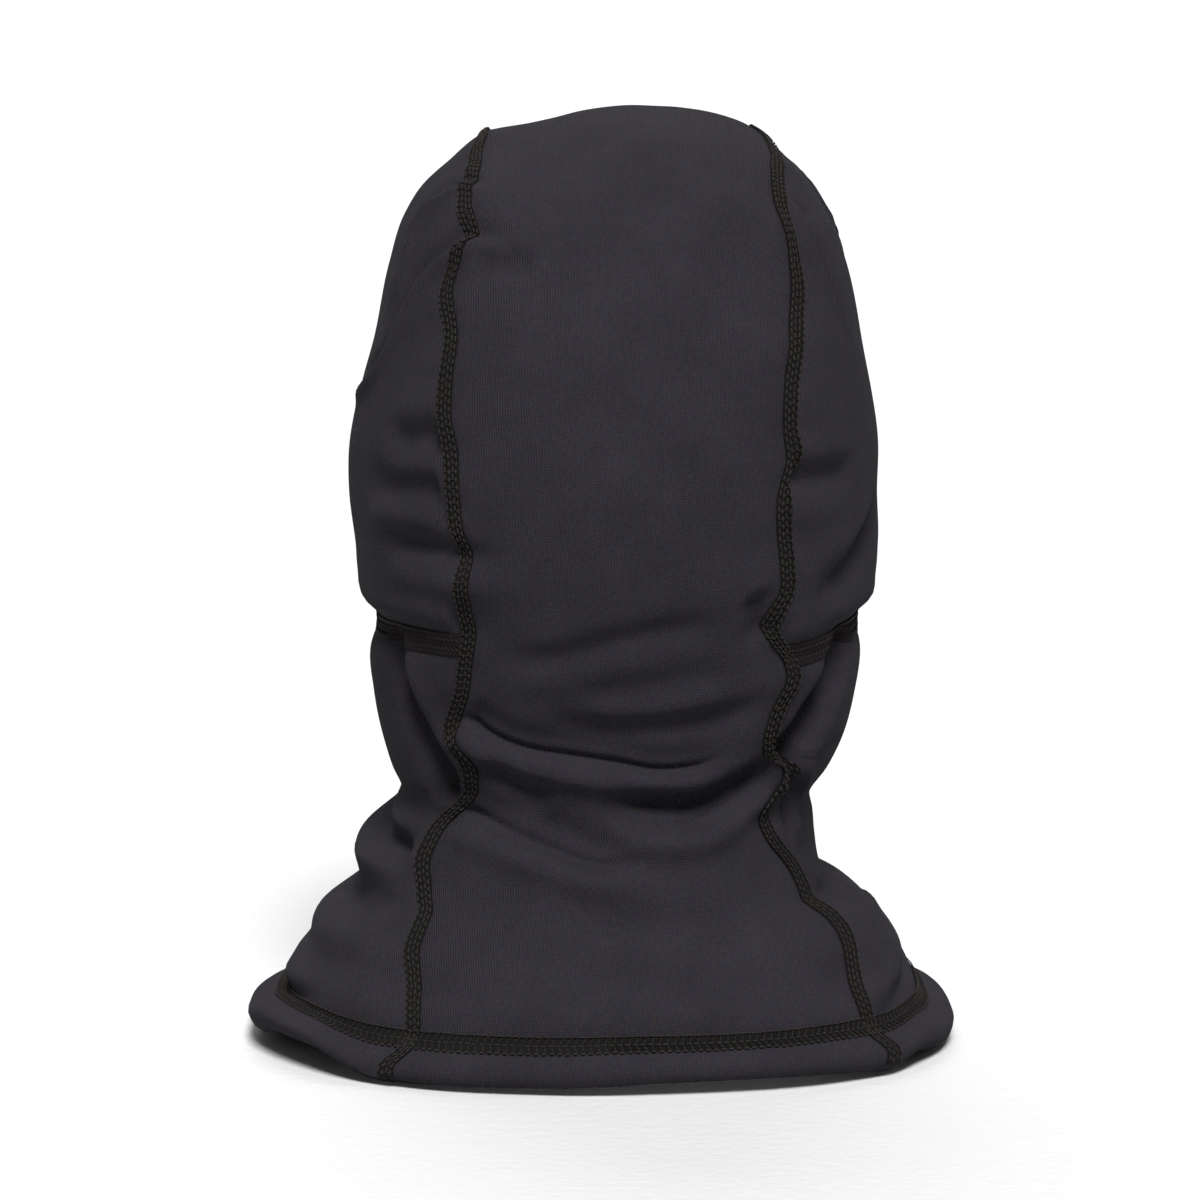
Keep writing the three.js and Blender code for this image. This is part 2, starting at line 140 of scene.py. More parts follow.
SEAM_RIGHT = [
    (-195, 96), (-183, 91), (-174, 86), (-161, 81), (-146, 76), (-131, 66), (-120, 56), (-111, 54),
    (-108, 55.5), (-104, 58), (-99, 59.2), (-96, 58), (-93, 53), (-89, 51.6), (-82, 52),
    (-73, 55.2), (-68, 57.6), (-63, 58.6), (-58, 57.6), (-53, 54.9), (-47, 52.8), (-42, 53.8),
    (-36, 56.2), (-25, 56.6), (-6, 56), (3, 58.5), (14, 57.5), (40, 59.5), (80, 58.5), (94, 54),
    (120, 51.5), (137, 51.5), (150, 49), (166, 45), (190, 46), (240, 53), (300, 54),
]


def smooth(points, at):
    """A smooth curve through (place, value) points."""
    x, y = np.array(sorted(points), float).T
    at = np.clip(at, x[0], x[-1])
    slope = np.gradient(y, x)
    i = np.clip(np.searchsorted(x, at) - 1, 0, len(x) - 2)
    run = x[i + 1] - x[i]
    t = (at - x[i]) / run
    rise = y[i + 1] - y[i]
    start, end = slope[i] * run, slope[i + 1] * run
    return y[i] + start * t + (3 * rise - 2 * start - end) * t**2 + (start + end - 2 * rise) * t**3


def ease(t):
    """0 below 0, 1 above 1 and smooth between."""
    t = np.clip(t, 0, 1)
    return t * t * (3 - 2 * t)


def bump(d, width):
    return np.exp(-((d / width) ** 2))


def rest(share):
    return np.maximum(0, 1 - np.abs(share) ** ROUND) ** (1 / ROUND)


def part(value):
    return np.sign(value) * np.abs(value) ** (2 / ROUND)


def section(z):
    """Half width, depth to the back and depth to the front at a height."""
    share = rest(np.maximum(0, z - WIDEST_Z) / (CROWN_Z - WIDEST_Z))
    below = [smooth([(row[0], row[k]) for row in SECTIONS], z) for k in (1, 2, 3)]
    head = [HEAD_SIDE * share, HEAD_BACK * share, HEAD_FRONT * share]
    return [np.where(z >= WIDEST_Z, a, b) for a, b in zip(head, below)]


def at_turn(turn, z):
    """A point of the smooth surface, by its turn from the middle of the back towards +X and its height."""
    turn, z = np.broadcast_arrays(np.asarray(turn, float), np.asarray(z, float))
    side, back, front = section(z)
    depth = np.where(np.cos(turn) >= 0, back, front)
    return np.stack([side * part(np.sin(turn)), depth * part(np.cos(turn)), z], -1)


def turn_of(x, z, front=False):
    turn = np.arcsin(np.minimum(1, np.abs(x) / section(z)[0]) ** (ROUND / 2))
    return np.pi - turn if front else turn


def at_pitch(x, pitch):
    """A point of the dome, by its distance from the middle and its pitch, which is 90 degrees on top."""
    pitch = np.radians(pitch)
    share = rest(x / HEAD_SIDE)
    depth = np.where(np.cos(pitch) >= 0, HEAD_BACK, HEAD_FRONT)
    y = depth * share * part(np.cos(pitch))
    z = WIDEST_Z + (CROWN_Z - WIDEST_Z) * share * part(np.sin(pitch))
    return np.stack(np.broadcast_arrays(x, y, z), -1)


def pitch_of(x, z):
    share = (z - WIDEST_Z) / ((CROWN_Z - WIDEST_Z) * rest(x / HEAD_SIDE))
    return np.degrees(np.arcsin(np.clip(share, 0, 1) ** (ROUND / 2)))


def at_way(x, q):
    """A point at a distance from the middle and a way along the back seams."""
    low = at_turn(np.sign(x) * turn_of(x, np.minimum(q, WIDEST_Z)), np.minimum(q, WIDEST_Z))
    high = at_pitch(x, np.maximum(0, q - WIDEST_Z) / MM_PER_DEGREE)
    return np.where((q < WIDEST_Z)[..., None], low, high)


def normal_of(p):
    """The smooth surface's outward direction."""
    x, y, z = p[..., 0], p[..., 1], p[..., 2]

    def power(value, size):
        return np.sign(value) * np.abs(value / size) ** (ROUND - 1) / size

    head_depth = np.where(y >= 0, HEAD_BACK, HEAD_FRONT)
    head_height = power(z - WIDEST_Z, CROWN_Z - WIDEST_Z)
    head = np.stack([power(x, HEAD_SIDE), power(y, head_depth), head_height], -1)
    here, under = section(np.minimum(z, WIDEST_Z)), section(np.minimum(z, WIDEST_Z) - 1)
    depth, depth_under = np.where(y >= 0, here[1], here[2]), np.where(y >= 0, under[1], under[2])
    fall_x = np.abs(x / here[0]) ** ROUND * (here[0] - under[0]) / here[0]
    fall_y = np.abs(y / depth) ** ROUND * (depth - depth_under) / depth
    neck = np.stack([power(x, here[0]), power(y, depth), -fall_x - fall_y], -1)
    n = np.where((z >= WIDEST_Z)[..., None], head, neck)
    return n / np.linalg.norm(n, axis=-1, keepdims=True)


def seam_x(side, q):
    """How far a back seam is from the middle. side is 1 on the wearer's left and -1 on the right."""
    return smooth(SEAM_LEFT if side > 0 else SEAM_RIGHT, q)


def arch_x(z, grow):
    share = np.clip((z - HINGE_Z) / (BROW_Z - HINGE_Z + grow), 0, 1)
    return (HINGE_X + grow) * (1 - share**ARCH_ROUND) ** (1 / ARCH_ROUND)


def arch_z(x, grow):
    share = np.clip(np.abs(x) / (HINGE_X + grow), 0, 1)
    return HINGE_Z + (BROW_Z - HINGE_Z + grow) * (1 - share**ARCH_ROUND) ** (1 / ARCH_ROUND)


def band_z(share, side):
    """The hood's lower edge. It hangs a little towards the back seam, more so on the wearer's right."""
    rise = (HINGE_Z - BAND_Z) * (np.maximum(0, share - BAND_LEVEL) / (1 - BAND_LEVEL)) ** 2
    hang = HANG_LEFT if side > 0 else HANG_RIGHT
    return BAND_Z + rise - hang * ease(1 - share / HANG_SHARE)


def fan(middle_z, share, drop=1.0):
    """The height of an edge that runs from a hinge point to the middle of the front."""
    return HINGE_Z + (middle_z - HINGE_Z) * np.sin(share * np.pi / 2) ** drop


HINGE_TURN = float(turn_of(HINGE_X, HINGE_Z, front=True))


def front_turn(share):
    return HINGE_TURN + (np.pi - HINGE_TURN) * share


# Folds. A path is a line of (x, z) points on the back. It runs towards the wearer's right, or down, and
# then a lobe's place is how far above the path, or to the right of it, its crest lies: (place, width,
# height). A lap is (place, width, move): how far the cloth there slides the same way, so that a roll hangs
# over a crease. ends are the shares of the path over which the fold fades in and out.
FOLDS = [
    # across the nape, from the top down
    dict(path=[(44, -57), (22, -57), (0, -51), (-20, -47), (-44, -45)],
         lobes=[(0, 5, -1.7), (9, 7, 0.8), (-8, 6, 1.0)]),
    dict(path=[(16, -69), (-9, -68), (-25, -64), (-42, -61)], lobes=[(0, 5, -0.8), (-8, 6, 0.6)]),
    dict(path=[(26, -78), (-6, -81), (-26, -79), (-43, -75), (-54, -70)],
         lobes=[(0, 5, -2.4), (8, 6, 1.0)]),
    dict(path=[(50, -78), (43, -84), (31, -89), (15, -92), (-3, -95), (-15, -97), (-27, -96), (-40, -90)],
         lobes=[(1, 1.9, -3.0), (6, 5, -1.6), (-5, 4.5, 3.4)], lap=(-2, 3, 0.9), ends=(0.05, 0.2)),
    dict(path=[(43, -92), (31, -100), (17, -106)], lobes=[(0, 5.5, -3.4), (-9, 6, 0.8)]),
    dict(path=[(4, -102), (-8, -106), (-22, -107), (-34, -106), (-46, -101), (-55, -96)],
         lobes=[(0, 5, -7.5)], ends=(0.3, 0.12)),
    dict(path=[(6, -109), (-11, -114), (-22, -115), (-31, -114), (-41, -109), (-55, -99)],
         lobes=[(0, 2.3, -2.4), (-6, 5, 3.4)], lap=(-2.5, 3, 0.7), ends=(0.3, 0.18)),
    dict(path=[(51, -111), (38, -116), (27, -120), (18, -123), (6, -127), (-6, -127), (-15, -124)],
         lobes=[(0.5, 2.4, -2.6), (7, 6, -2.8), (-6, 5, 2.8)], lap=(-2.5, 3, 0.8), ends=(0.06, 0.3)),
    dict(path=[(24, -142), (-7, -147), (-30, -149), (-54, -146)], lobes=[(0, 8, -1.8), (14, 9, 1.2)]),
    dict(path=[(34, -160), (-10, -163), (-50, -160)], lobes=[(0, 8, -1.2), (-10, 7, 0.8)]),
    # beside the seams
    dict(path=[(76, 12), (66, 14), (56, 16)],
         lobes=[(0, 6, -3.2), (10, 6, 1.2), (-9, 5, 1.4)], ends=(0.4, 0.1)),
    dict(path=[(84, -4), (68, -2), (55, -2)], lobes=[(0, 6, -3.2), (-9, 5, 1.6)], ends=(0.4, 0.1)),
    dict(path=[(80, -20), (62, -22), (50, -23), (24, -22)],
         lobes=[(0, 5, -3.4), (-9, 6, 1.6)], ends=(0.3, 0.5)),
    dict(path=[(-57, 2), (-66, 1), (-82, 2)],
         lobes=[(0, 6, -3.2), (9, 6, 1.3), (-9, 6, 1.3)], ends=(0.1, 0.4)),
    dict(path=[(-90, -10), (-86, -22), (-78, -31), (-62, -40)], lobes=[(0, 7, -4.6), (-11, 7, 1.2)]),
    dict(path=[(-46, -34), (-48, -44), (-50, -54)], lobes=[(0, 5, -3.4)]),
    dict(path=[(-79, -48), (-75, -61), (-71.5, -71), (-67, -79), (-62, -87), (-55.5, -95)],
         lobes=[(0, 6, -9.5), (10, 6, 1.8)], ends=(0.3, 0.06)),
    dict(path=[(77, -48), (75, -56), (71, -69), (66.5, -80), (61, -90), (56, -100), (55, -111)],
         lobes=[(0, 5.5, -7.5), (11, 6, 1.6)], ends=(0.25, 0.1)),
    dict(path=[(112, -117), (92, -119), (76, -124), (60, -128)],
         lobes=[(0, 4.5, -7.0), (-9, 6, 2.0)], ends=(0.55, 0.15)),
    dict(path=[(-59, -95), (-62, -108), (-68, -130)],
         lobes=[(0, 2.2, -2.4), (5, 4, 2.2)], ends=(0.1, 0.3)),
    dict(path=[(116, -145), (99, -147), (86, -148), (74, -152)],
         lobes=[(0, 5, -3.0), (-9, 6, 1.2)], ends=(0.5, 0.4)),
    dict(path=[(124, -181), (112, -181), (104, -179), (88, -174)],
         lobes=[(0, 3.5, -2.2), (7, 5, 1.2)], ends=(0.4, 0.5)),
    dict(path=[(-88, -182), (-97, -179), (-106, -173), (-116, -166)],
         lobes=[(0, 3.4, -2.6), (7, 5, 1.5)], ends=(0.35, 0.5)),
    dict(path=[(-78, -142), (-84, -146), (-90, -147)],
         lobes=[(0, 3, -2.4), (-6, 5, 1.6)], ends=(0.3, 0.1)),
    # over the crown
    dict(path=[(30, 74), (44, 78), (52, 75), (58, 71), (64, 65), (70, 56), (78, 40), (92, 22)],
         lobes=[(2.5, 2.6, 2.6), (-3.5, 4, -2.4)], lap=(0, 3, -1.4), ends=(0.2, 0.45)),
    dict(path=[(22, 71), (36, 72), (48, 70)], lobes=[(0, 5, -2.4)]),
    dict(path=[(-55, 92), (-61, 82), (-68, 70), (-76, 54), (-86, 36)],
         lobes=[(-2, 2.4, 2.2), (3.5, 4, -2.0)], ends=(0.1, 0.7)),
    dict(path=[(-56, 103), (-66, 92), (-76, 76), (-86, 56)],
         lobes=[(-2, 2.4, 1.5), (3, 3.5, -1.2)], ends=(0.35, 0.6)),
    dict(path=[(45, 102), (56, 92), (66, 79), (73, 64), (84, 46)],
         lobes=[(2, 2.2, 2.0), (-3, 3, -1.6)], ends=(0.2, 0.6)),
    dict(path=[(38, 93), (50, 94), (59, 88), (67, 80), (78, 66)],
         lobes=[(2, 2.2, 1.6), (-2, 2.6, -1.6)], ends=(0.3, 0.6)),
]
FOLD_DEPTH = 1.15  # times the heights of the lobes
TAPE_LOBES = [(-1, 5, -0.9), (9, 5, 1.7)]  # the tape pulls the cloth in, and the hood puffs out above it


def on_back(points):
    """Points of the smooth surface. One that is past the side is that much further round to the front."""
    x, z = np.array(points, float).T
    side = section(z)[0]
    past = np.maximum(0, np.abs(x) - side) / side
    return at_turn(np.sign(x) * (turn_of(x, z) + past), z)


def rounded(path):
    """The same path without corners."""
    way = np.concatenate([[0], np.linalg.norm(np.diff(path, axis=0), axis=1).cumsum()])
    at = np.linspace(0, way[-1], 3 * len(path))
    return np.stack([smooth(list(zip(way, path[:, k])), at) for k in range(3)], -1)


def band_path(side):
    """The middle of a hinge tape, from the back seam to the hinge point."""
    share = np.linspace(0.02, 1, 24)
    start = turn_of(seam_x(side, BAND_Z), BAND_Z)
    p = at_turn(start + (HINGE_TURN - start) * share, band_z(share, side))
    return p * (side, 1, 1)


def fold_move(p, n):
    """How far the folds move each point."""
    moved = np.zeros_like(p)
    folds = [dict(fold, path=rounded(on_back(fold["path"]))) for fold in FOLDS]
    for side in (-1, 1):
        lobes = [(-side * place, width, height) for place, width, height in TAPE_LOBES]
        folds.append(dict(path=band_path(side), lobes=lobes, ends=(0.02, 0.25)))
    for fold in folds:
        moved += one_fold(p, n, fold)
    return moved


def one_fold(p, n, fold):
    """How far one fold moves each point: out by its lobes, and aside by its lap."""
    path = fold["path"]
    reach = max(abs(place) + 3 * width for place, width, _ in fold["lobes"])
    near = np.all((p > path.min(0) - reach) & (p < path.max(0) + reach), axis=-1)
    result = np.zeros_like(p)
    if not near.any():
        return result
    q, qn = p[near], n[near]
    steps = np.linalg.norm(np.diff(path, axis=0), axis=1)
    starts = np.concatenate([[0], np.cumsum(steps)])
    best = np.full(len(q), 1e9)
    way, side, aside = np.zeros(len(q)), np.zeros(len(q)), np.zeros_like(q)
    for a, b, start, length in zip(path, path[1:], starts, steps):
        along = (b - a) / length
        t = np.clip((q - a) @ along, 0, length)
        gap = q - (a + t[:, None] * along)
        distance = np.linalg.norm(gap, axis=1)
        across = np.cross(qn, along)
        take = distance < best
        best = np.where(take, distance, best)
        way = np.where(take, (start + t) / starts[-1], way)
        side = np.where(take, (gap * across).sum(1), side)
        aside[take] = across[take]
    first, last = fold.get("ends", (0.3, 0.3))
    fade = ease(way / first) * ease((1 - way) / last)
    height = FOLD_DEPTH * sum(h * bump(side - place, width) for place, width, h in fold["lobes"]) * fade
    result[near] = qn * height[:, None]
    if "lap" in fold:
        place, width, move = fold["lap"]
        result[near] += aside * (move * bump(side - place, width) * fade)[:, None]
    return result


CROWN_FADE = 118.0  # the outline and the unevenness fade out towards this height


def outline_move(x, z):
    """How far the worn outline moves points sideways."""
    side = section(z)[0]
    left, right = [smooth([(row[0], row[k]) for row in OUTLINE], z) for k in (1, 2)]
    target = np.where(x > 0, left, right)
    share = np.clip(np.abs(x) / np.maximum(side, 1), 0, 1)
    return np.sign(x) * (target - side) * share**1.6 * ease((CROWN_FADE - z) / 10)


def rise_move(x, y, z):
    """How far up points of the crown and the hem move."""
    crown = smooth(CROWN_RISE, x) * ease((z - 55) / 45)
    hem = smooth(HEM_RISE, x) * ease((-172 - z) / 23) * ease((y + 30) / 75)
    return crown + hem


def unevenness(x, y, z):
    """How far out of the smooth surface the cloth is, because cloth is never quite smooth."""
    uneven = 0.5 * np.sin(x / 19 + 1.3) * np.sin(z / 23 + y / 31) + 0.35 * np.sin(x / 9 - y / 12 + z / 13)
    # the seams pucker it
    for side, seam in ((1, SEAM_LEFT), (-1, SEAM_RIGHT)):
        d = np.abs(x - side * smooth(seam, z))
        wave = np.sin(z / 2.9 + side) + 0.7 * np.sin(z / 4.7 + 2 * side)
        uneven += np.where(y > 0, 0.32 * wave * bump(d - 5, 6) - 0.5 * bump(d, 3.5), 0)
    # the hem is puffy below its stitches, which pull it in
    uneven += 2.2 * np.sin(np.pi * np.clip((z - HEM_Z) / (STITCH_Z - HEM_Z), 0, 1)) ** 0.8
    uneven += -1.1 * bump(z - STITCH_Z, 3.6) + 0.9 * bump(z - STITCH_Z - 9, 5)
    return uneven * (0.6 * ease((CROWN_FADE - z) / 20) + 0.4)


def worn(p):
    """The worn cloth's outer surface at points of the smooth one, and the directions outwards there."""
    shape = p.shape
    p = p.reshape(-1, 3)
    n = normal_of(p)
    x, y, z = p.T
    out = p + fold_move(p, n)
    out[:, 0] += outline_move(x, z)
    out[:, 2] += rise_move(x, y, z)
    out += n * unevenness(x, y, z)[:, None]
    out[:, 1] -= NOSE_OUT * bump(x, NOSE_WIDE) * bump(z - NOSE_Z, NOSE_TALL) * (y < 0)
    # level at the very bottom, so that the hem's edge is flat
    n = np.stack([n[:, 0], n[:, 1], np.where(z < HEM_Z + 1, 0, n[:, 2])], -1)
    n /= np.linalg.norm(n, axis=-1, keepdims=True)
    return out.reshape(shape), n.reshape(shape)


# Meshes
def new_object(name, vertices, faces, material, uv=None, sharp=50):
    mesh = bpy.data.meshes.new(name)
    vertices = np.asarray(vertices, float).reshape(-1, 3) * MM
    faces = np.asarray(faces)
    mesh.vertices.add(len(vertices))
    mesh.vertices.foreach_set("co", vertices.ravel())
    size = faces.shape[1]
    mesh.loops.add(faces.size)
    mesh.loops.foreach_set("vertex_index", faces.ravel())
    mesh.polygons.add(len(faces))
    mesh.polygons.foreach_set("loop_start", np.arange(0, faces.size, size))
    mesh.polygons.foreach_set("loop_total", np.full(len(faces), size))
    mesh.update(calc_edges=True)
    mesh.validate()
    if uv is not None:
        layer = mesh.uv_layers.new(name="cloth")
        layer.data.foreach_set("uv", np.asarray(uv, float)[faces.ravel()].ravel())
    mesh.polygons.foreach_set("use_smooth", np.ones(len(mesh.polygons), bool))
    mesh.set_sharp_from_angle(angle=math.radians(sharp))
    obj = bpy.data.objects.new(name, mesh)
    bpy.context.scene.collection.objects.link(obj)
    mesh.materials.append(material)
    return obj


def shell(outer, inner, wraps=False):
    """Vertices and faces of a closed solid between two grids of points."""
    rows, columns = outer.shape[:2]
    total = rows * columns
    index = np.arange(total).reshape(rows, columns)
    if wraps:
        index = np.concatenate([index, index[:, :1]], 1)
    a, b, c, d = index[:-1, :-1], index[:-1, 1:], index[1:, 1:], index[1:, :-1]
    top = np.stack([d, c, b, a], -1).reshape(-1, 4)
    faces = [top, top[:, ::-1] + total]

    def strip(edge):
        low, high = edge[:-1], edge[1:]
        return np.stack([low, high, high + total, low + total], -1)

    faces += [strip(index[0])[:, ::-1], strip(index[-1])]
    if not wraps:
        faces += [strip(index[:, 0]), strip(index[:, -1])[:, ::-1]]
    return np.concatenate([outer.reshape(-1, 3), inner.reshape(-1, 3)]), np.concatenate(faces)


def cloth_uv(grid, zero_column=0):
    """Millimetres across and up the cloth, in tens."""
    across = np.linalg.norm(np.diff(grid, axis=1), axis=-1).cumsum(1)
    across = np.pad(across, ((0, 0), (1, 0)))
    across -= across[:, zero_column : zero_column + 1]
    up = np.pad(np.linalg.norm(np.diff(grid, axis=0), axis=-1).cumsum(0), ((1, 0), (0, 0)))
    uv = np.stack([across, up], -1).reshape(-1, 2) / 10
    return np.concatenate([uv, uv])


def face_out(vertices, faces):
    """Turns the faces over if they point inwards."""
    v = vertices[faces]
    centre = v.mean(1)
    area = np.cross(v[:, 2] - v[:, 0], v[:, 3] - v[:, 1])
    volume = (area * centre).sum()
    return faces if volume > 0 else faces[:, ::-1]


def cloth(name, grid, material, lift=0.0, wraps=False, zero_column=0, roll=False):
    """A piece of cloth on the worn surface. lift is how far its outer face is outside it. With roll, its
    outer face is rounded off at the hem."""
    outer, n = worn(grid)
    lift = np.broadcast_to(lift, grid.shape[:2])
    under = outer + n * (lift - CLOTH)[..., None]
    if roll:
        round_off = 1 - np.sqrt(1 - np.clip((HEM_Z + ROLL - grid[..., 2]) / ROLL, 0, 1) ** 2)
        lift = lift - (CLOTH - 0.1) * round_off
    top = outer + n * lift[..., None]
    vertices, faces = shell(top, under, wraps)
    return new_object(name, vertices, face_out(vertices, faces), material, cloth_uv(outer, zero_column))


# Grids of the panels. Each row is at one height or nearly so.
COARSE = 1.0
CELL, FINE_CELL = 1.7, 1.0


def count(length, cell=CELL):
    return max(3, int(round(length / (cell * COARSE))) + 1)


NAPE_LOW, NAPE_HIGH = -132.0, -60.0  # where the sharpest creases are
LAST_WAY = 290.0  # of the crown strip's rows, before those past the top are fitted to the face opening


def crown_back_grid():
    share = np.linspace(-1, 1, count(118, FINE_CELL))
    stops = [(HEM_Z, CELL), (NAPE_LOW, FINE_CELL), (NAPE_HIGH, CELL), (WIDEST_Z, CELL), (LAST_WAY, None)]
    rows = [np.linspace(a, b, count(b - a, cell))[:-1] for (a, cell), (b, _) in zip(stops, stops[1:])]
    q = np.concatenate(rows + [[LAST_WAY]])
    left, right = seam_x(1, q) - HALF_GAP, seam_x(-1, q) - HALF_GAP
    x = left[:, None] * (1 + share) / 2 - right[:, None] * (1 - share) / 2
    end = WIDEST_Z + MM_PER_DEGREE * (180 - pitch_of(x, arch_z(x, EDGE_GAP)))
    way = q[:, None] * np.ones_like(x)
    over = CROWN_Q + (way - CROWN_Q) * (end - CROWN_Q) / (LAST_WAY - CROWN_Q)
    return at_way(x, np.where(way > CROWN_Q, over, way))


FRONT_SEAM_X = 54.0
CORNER = float(pitch_of(FRONT_SEAM_X, arch_z(FRONT_SEAM_X, EDGE_GAP)))


def hood_side_grid(side):
    u = np.linspace(0, 1, count(200))
    rows = []
    for t in np.linspace(1, 0, count(50))[:-1]:
        z = WIDEST_Z + (band_z(u, side) + HALF_GAP - WIDEST_Z) * t
        back = turn_of(seam_x(side, z[0]) + HALF_GAP, z[0])
        ahead = turn_of(arch_x(z[-1], EDGE_GAP), z[-1], front=True)
        rows.append(at_turn(back + (ahead - back) * u, z))
    pitches = np.concatenate([np.linspace(0, CORNER, count(46))[:-1], np.linspace(CORNER, 89, count(120))])
    for pitch in pitches:
        back_x = seam_x(side, WIDEST_Z + pitch * MM_PER_DEGREE) + HALF_GAP
        back_z = at_pitch(back_x, pitch)[2]
        ahead_x = seam_x(side, WIDEST_Z + (180 - pitch) * MM_PER_DEGREE) + HALF_GAP
        ahead_z = at_pitch(ahead_x, pitch)[2]
        if pitch < CORNER:
            ahead_x = arch_x(ahead_z, EDGE_GAP)
        back, ahead = turn_of(back_x, back_z), turn_of(ahead_x, ahead_z, front=True)
        rows.append(at_turn(back + (ahead - back) * u, back_z + (ahead_z - back_z) * u))
    return np.array(rows) * (side, 1, 1)


def neck_wrap_grid(side):
    u = np.linspace(0, 1, count(150, 1.25))
    s = np.linspace(0, 1, count(110))[1:] ** 1.5
    start = turn_of(seam_x(side, BAND_Z) + HALF_GAP, BAND_Z)
    turn = np.concatenate([start + (HINGE_TURN - start) * u, front_turn(s)])
    top = np.concatenate([band_z(u, side) - HALF_GAP, fan(JAW_SEAM_Z, s, JAW_DROP) - HALF_GAP])

    def seam_turn(z):
        return turn_of(seam_x(side, z) + HALF_GAP, z)

    share = (turn - seam_turn(top)) / (np.pi - seam_turn(top))
    z = top + (HEM_Z - top) * np.linspace(1, 0, count(150, 1.25))[:, None]
    end = turn_of(HALF_GAP, z, front=True)
    grid = at_turn(np.minimum(seam_turn(z) + (np.pi - seam_turn(z)) * share, end), z)
    return grid * (side, 1, 1)


def tucked(share):
    """How far inside the worn surface the mask's cloth is where it goes under the hood's edge."""
    return -3.7 * ease((0.3 - share) / 0.1)


def under_hood(way):
    return tucked(1 - np.abs(way))


def whole_front(grid):
    return np.concatenate([grid * (-1, 1, 1), grid[:, -2::-1]], 1)


def chin_grid():
    s = np.linspace(MASK_START, 1, count(100)) ** 1.2
    t = np.linspace(0, 1, count(70))[:, None]
    low, high = fan(JAW_SEAM_Z, s, JAW_DROP) + 0.3, fan(MASK_SEAM_Z, s) - HALF_GAP
    grid = at_turn(front_turn(s) + 0 * t, low + (high - low) * t)
    lift = tucked(s) * ease((t - 0.55) / 0.45)
    return whole_front(grid), np.concatenate([lift, lift[:, -2::-1]], 1)


def mask_grid(side):
    s = np.linspace(MASK_START, 1, count(100))
    t = np.linspace(0, 1, count(46))[:, None]
    z = fan(MASK_SEAM_Z, s) + HALF_GAP + (fan(NOSE_EDGE_Z, s) + 3 - fan(MASK_SEAM_Z, s)) * t
    end = turn_of(HALF_GAP, z, front=True)
    grid = at_turn(np.minimum(front_turn(s) + 0 * t, end), z)
    return grid * (side, 1, 1), np.broadcast_to(tucked(s), grid.shape[:2])


def hem_grid():
    turn = np.linspace(0, 2 * np.pi, count(720))[:-1]
    z = np.linspace(HEM_Z, STITCH_Z + 2, count(20))[:, None]
    return at_turn(turn, z)


# Bands: strips along a line on the surface. A line gives base points for (way along, shift across).
def level(way):
    return np.zeros_like(way)


BAND_COLUMNS, BAND_CROWN = 7, 0.25  # a band's middle is that much higher than its long edges


def band_solid(name, line, ways, width, low, high, material, sink=level):
    """A strip of cloth or thread. sink is how far out of the worn surface the cloth under it is."""
    across = np.linspace(-0.5, 0.5, BAND_COLUMNS) * width
    grid = np.stack([line(ways, shift) for shift in across], 1)
    base, n = worn(grid)
    base = base + n * sink(ways)[:, None, None]
    arch = BAND_CROWN * (1 - (2 * across / width) ** 2)
    top = base + n * (high + arch)[None, :, None]
    under = base + n * low
    vertices, faces = shell(top, under)
    return new_object(name, vertices, face_out(vertices, faces), material, cloth_uv(base, BAND_COLUMNS // 2))


RING = 6  # corners round a stitch
BEAD_PLACES = np.array([-1, -0.62, 0, 0.62, 1.0])  # of its rings, along it
BEAD_FATS = np.array([0.25, 0.82, 1.0, 0.82, 0.25])  # how thick it is at each ring


def beads(centres, along, across, out, half, wide, tall):
    """Stitches: a bead for each centre, long along its own way, in one mesh's vertices and faces."""
    ring = np.linspace(0, 2 * np.pi, RING, endpoint=False)
    place, fat = BEAD_PLACES[:, None], BEAD_FATS[:, None]
    shape = np.stack([half * place + 0 * ring, wide * fat * np.cos(ring), tall * fat * np.sin(ring)], -1)
    shape = shape.reshape(-1, 3)
    axes = np.stack([along, across, out], 1)
    vertices = centres[:, None] + np.einsum("kj,njc->nkc", shape, axes)
    index = np.arange(len(shape)).reshape(-1, RING)
    onward = np.roll(index, -1, axis=1)
    sides = np.stack([index[1:], onward[1:], onward[:-1], index[:-1]], -1).reshape(-1, 4)
    start, end = index[0], index[-1]
    ends = [start[[3, 2, 1, 0]], start[[5, 4, 3, 0]], end[[0, 1, 2, 3]], end[[0, 3, 4, 5]]]
    quads = np.concatenate([sides, ends])
    faces = quads[None] + (np.arange(len(centres)) * len(shape))[:, None, None]
    return vertices.reshape(-1, 3), faces.reshape(-1, 4)


def unit(v):
    return v / np.maximum(np.linalg.norm(v, axis=-1, keepdims=True), 1e-9)


def place_stitches(line, ways, shift, lean, half, wide, tall, lift, sink=level):
    """Beads along a line, each leaning to one side by lean, in radians. half, wide and tall are half the
    beads' sizes."""
    here, n = worn(line(ways, shift))
    # a small step onward and one aside show which way the line runs there
    ahead, _ = worn(line(ways + (ways[-1] - ways[0]) / len(ways) / 4, shift))
    beside, _ = worn(line(ways, shift + 0.6))
    along, across = unit(ahead - here), unit(beside - here)
    lean = np.broadcast_to(lean, ways.shape)[:, None]
    way = unit(along * np.cos(lean) + across * np.sin(lean))
    out = unit(n)
    sideways = unit(np.cross(out, way))
    out = unit(np.cross(way, sideways))
    return beads(here + n * (lift + sink(ways))[:, None], way, sideways, out, half, wide, tall)


def join(parts):
    vertices, faces, total = [], [], 0
    for v, f in parts:
        vertices.append(v)
        faces.append(f + total)
        total += len(v)
    return np.concatenate(vertices), np.concatenate(faces)


